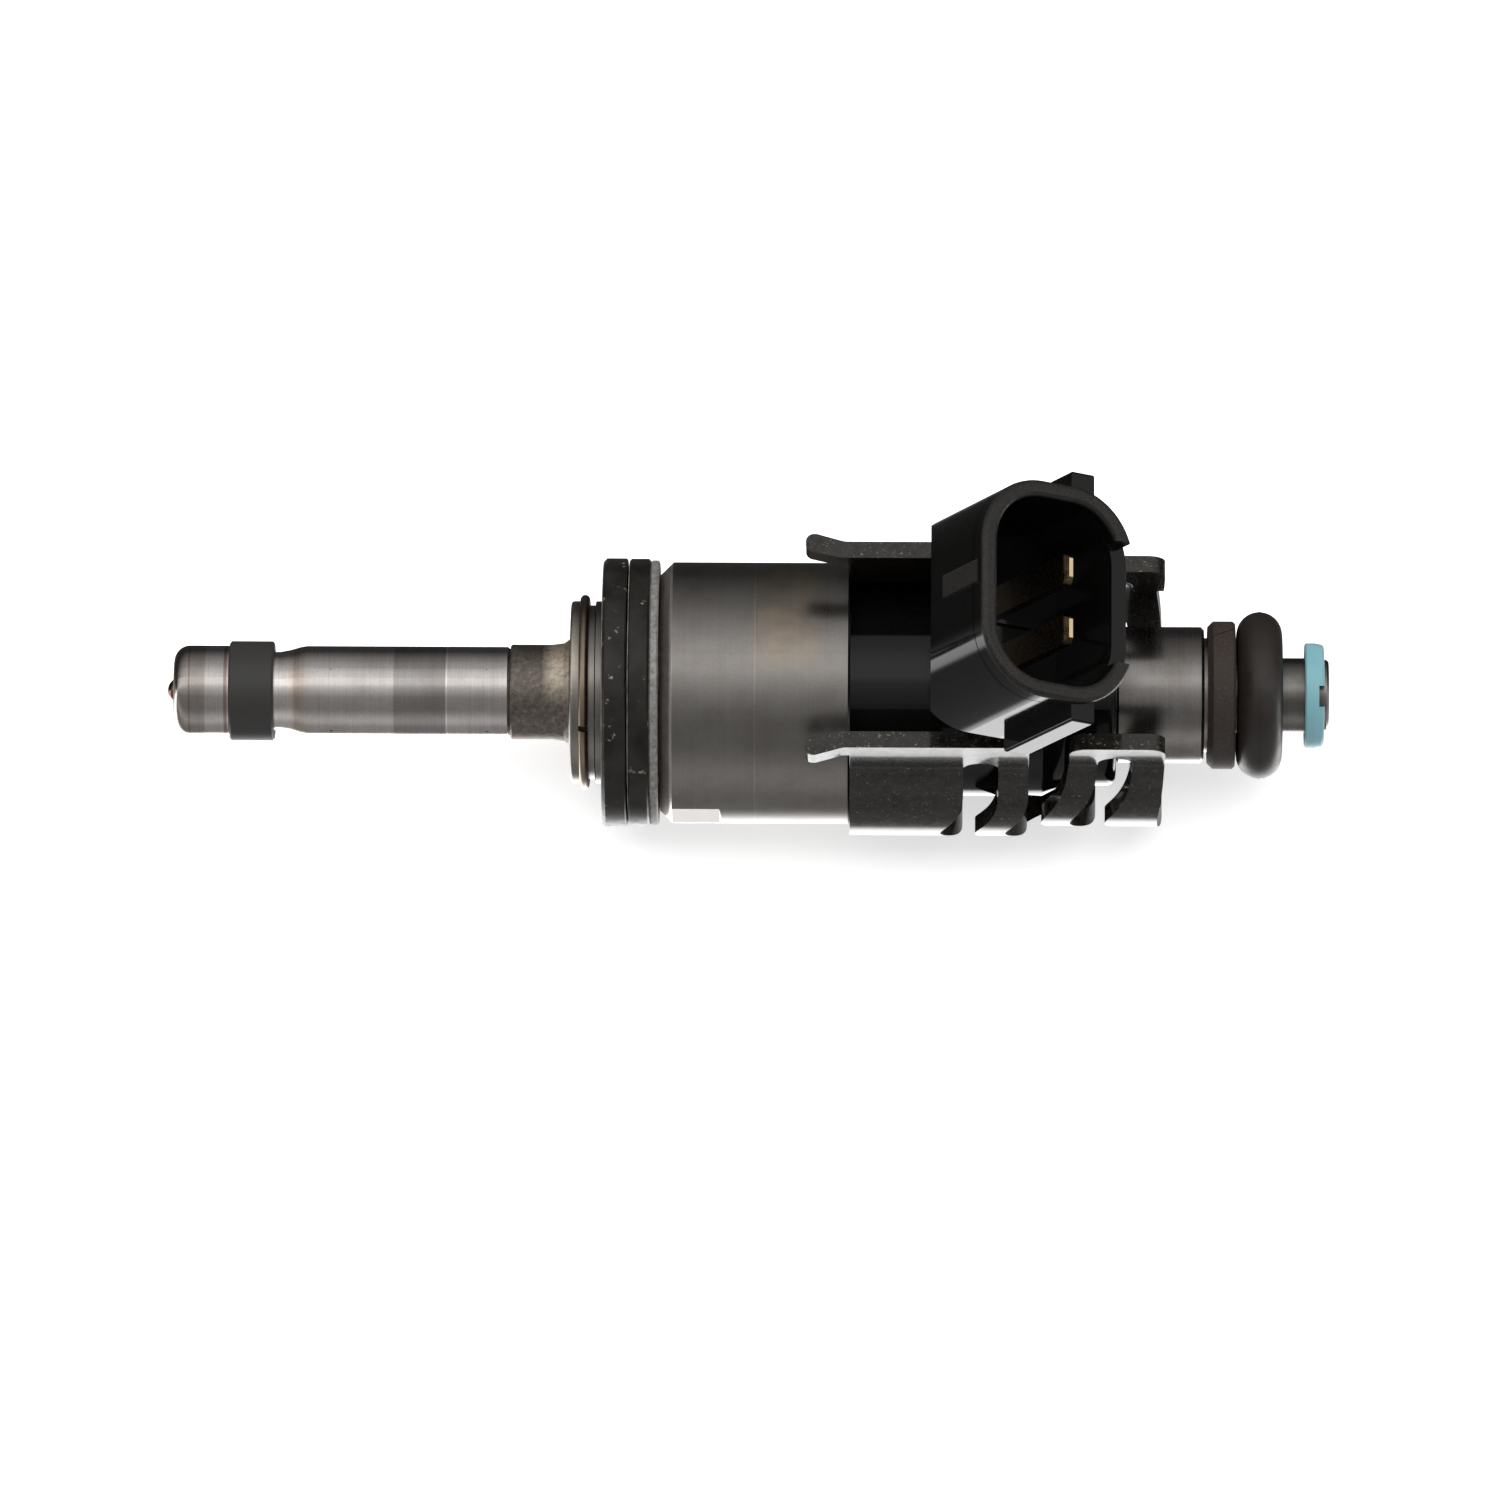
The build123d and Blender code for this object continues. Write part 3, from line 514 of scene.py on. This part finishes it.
def inlet_steel():
    """The inlet tube, streaked along the axis and darker in its thin end."""
    colour = (0.365, 0.345, 0.33)
    n, base = steel("inlet_steel", colour, 0.26, marks=0.0025, spread=0.12, stains=0.2)
    streak = n.noise(260, stretch=(0.12, 1, 1))
    base = n.times(base, n.ramp(streak, ((0.35, 0.78), (0.65, 1.12))))
    n.set(Base_Color=tint_bands(n, base, (55.2, 59.8, 0.4, (0.66, 0.66, 0.64))))
    return n.material


def brown_backup_plastic():
    n = Nodes("brown_backup_plastic")
    base = speckled(n, (0.026, 0.018, 0.015), (0.058, 0.043, 0.036), 5200, 0.45, soft=0.12)
    n.set(Base_Color=base, Roughness=0.62)
    n.bump(n.noise(5200, detail=5.0), 0.012)
    return n.material


def o_ring_rubber():
    n = Nodes("o_ring_rubber")
    base = n.mix(n.noise(1200, detail=5.0), (0.009, 0.0068, 0.0055), (0.019, 0.0145, 0.012))
    n.set(Base_Color=base, Roughness=n.between(n.noise(700), 0.3, 0.7, 0.36, 0.5))
    n.bump(n.noise(6000, detail=3.0), 0.004)
    return n.material


def blue_plastic():
    n = Nodes("blue_plastic")
    base = n.mix(n.noise(700, detail=5.0), (0.14, 0.305, 0.345), (0.18, 0.365, 0.41))
    n.set(Base_Color=base, Roughness=0.42)
    n.bump(n.noise(3000), 0.008)
    return n.material


def filter_plastic():
    n = Nodes("filter_plastic")
    base = n.mix(n.noise(900), (0.55, 0.53, 0.46), (0.65, 0.63, 0.57))
    n.set(Base_Color=base, Roughness=0.5)
    n.bump(n.noise(4000), 0.005)
    return n.material


def filter_steel():
    n = Nodes("filter_steel")
    mesh = n.math("MULTIPLY", n.cells(7000), 1.6)
    n.set(Base_Color=n.ramp(mesh, ((0.2, 0.08), (0.6, 0.5))), Metallic=1.0, Roughness=0.4)
    n.bump(mesh, 0.02)
    return n.material


def black_plastic():
    """Glossy moulded plastic, dull and greyer on the mouth's rim and on the side tab."""
    n = Nodes("black_plastic")
    grain = n.noise(7000, detail=5.0, roughness=0.6)
    gloss = n.mix(n.noise(500), (0.0020, 0.0018, 0.0017), (0.0042, 0.0039, 0.0036))
    across, height = socket_axes(n)
    rim = n.between(height, -0.60, -0.30)
    tab = n.between(across, -7.30, -7.24, 1.0, 0.0)
    dull = n.math("ADD", rim, tab, clamp=True)
    matt = n.mix(n.between(grain, 0.40, 0.62), (0.007, 0.0065, 0.006), (0.019, 0.0175, 0.016))
    n.set(Base_Color=n.mix(dull, gloss, matt), Specular_IOR_Level=0.3)
    rough = n.between(n.math("ADD", grain, n.noise(600)), 0.7, 1.3, 0.05, 0.10)
    n.set(Roughness=n.math("ADD", rough, n.math("MULTIPLY", dull, 0.25)))
    n.bump(grain, 0.0012)
    return n.material


def brass_blade():
    """Gold at the blades' tips, which end 1.2 mm below the connector's mouth, and painted shade
    below: a dull, darker brown deeper in the socket.
    """
    n = Nodes("brass_blade")
    height = socket_axes(n)[1]
    gold = n.mix(n.noise(900), (0.80, 0.58, 0.30), (0.95, 0.76, 0.48))
    # painted shade: a darker, dull brown for the blades lower down in the socket
    dull = n.mix(n.noise(700), (0.34, 0.25, 0.17), (0.48, 0.37, 0.26))
    n.set(Base_Color=n.mix(n.between(height, -1.95, -1.55), dull, gold), Metallic=1.0)
    n.set(Roughness=n.between(n.noise(1200), 0.3, 0.7, 0.24, 0.34))
    n.bump(n.noise(900), 0.002)
    return n.material


def spring_steel_black():
    """Oiled black sheet with fine wear, and bigger worn spots on the tops of its lips."""
    n = Nodes("spring_steel_black")
    shade = n.between(n.noise(500, detail=5.0), 0.35, 0.65)
    base = n.mix(shade, (0.004, 0.0032, 0.0026), (0.012, 0.010, 0.0085))
    cloud = n.between(n.noise(1700, detail=6.0, roughness=0.75), 0.42, 0.68)
    base = n.mix(cloud, base, (0.022, 0.019, 0.015))
    base = n.mix(worn(n, 3600, 0.17), base, (0.10, 0.085, 0.06))
    z = n.axes()[2]
    low_top = n.between(z, 11.55 * MM, 11.70 * MM)
    above_low_top = n.between(z, 11.80 * MM, 11.85 * MM)
    high_top = n.between(z, 13.50 * MM, 13.65 * MM)
    tops = n.math("ADD", n.math("SUBTRACT", low_top, above_low_top), high_top, clamp=True)
    base = n.mix(n.math("MULTIPLY", tops, worn(n, 2100, 0.17)), base, (0.17, 0.145, 0.10))
    n.set(Base_Color=base, Roughness=n.between(n.noise(1000), 0.3, 0.7, 0.14, 0.26))
    n.set(Coat_Weight=0.55, Coat_Roughness=0.06, Specular_IOR_Level=0.12)
    n.bump(n.noise(2600, detail=6.0, roughness=0.7), 0.006)
    return n.material


def dress_nodes():
    """Gives every CAD node the material of its slot."""
    makers = (nozzle_steel, ptfe_seal, heat_tinted_steel, bronze_spring_wire, blackened_steel)
    makers += (rough_grey_ring, turned_steel, inner_steel, coil_plastic, copper_wire, inlet_steel)
    makers += (brown_backup_plastic, o_ring_rubber, blue_plastic, filter_plastic, filter_steel)
    makers += (black_plastic, brass_blade, spring_steel_black)
    finishes = {make.__name__: make() for make in makers}
    for part in frame["record"]["subparts"]:
        mesh = NODES[part["node"]].data
        mesh.materials.clear()
        mesh.materials.append(finishes[part["material_slot"]])


dress_nodes()
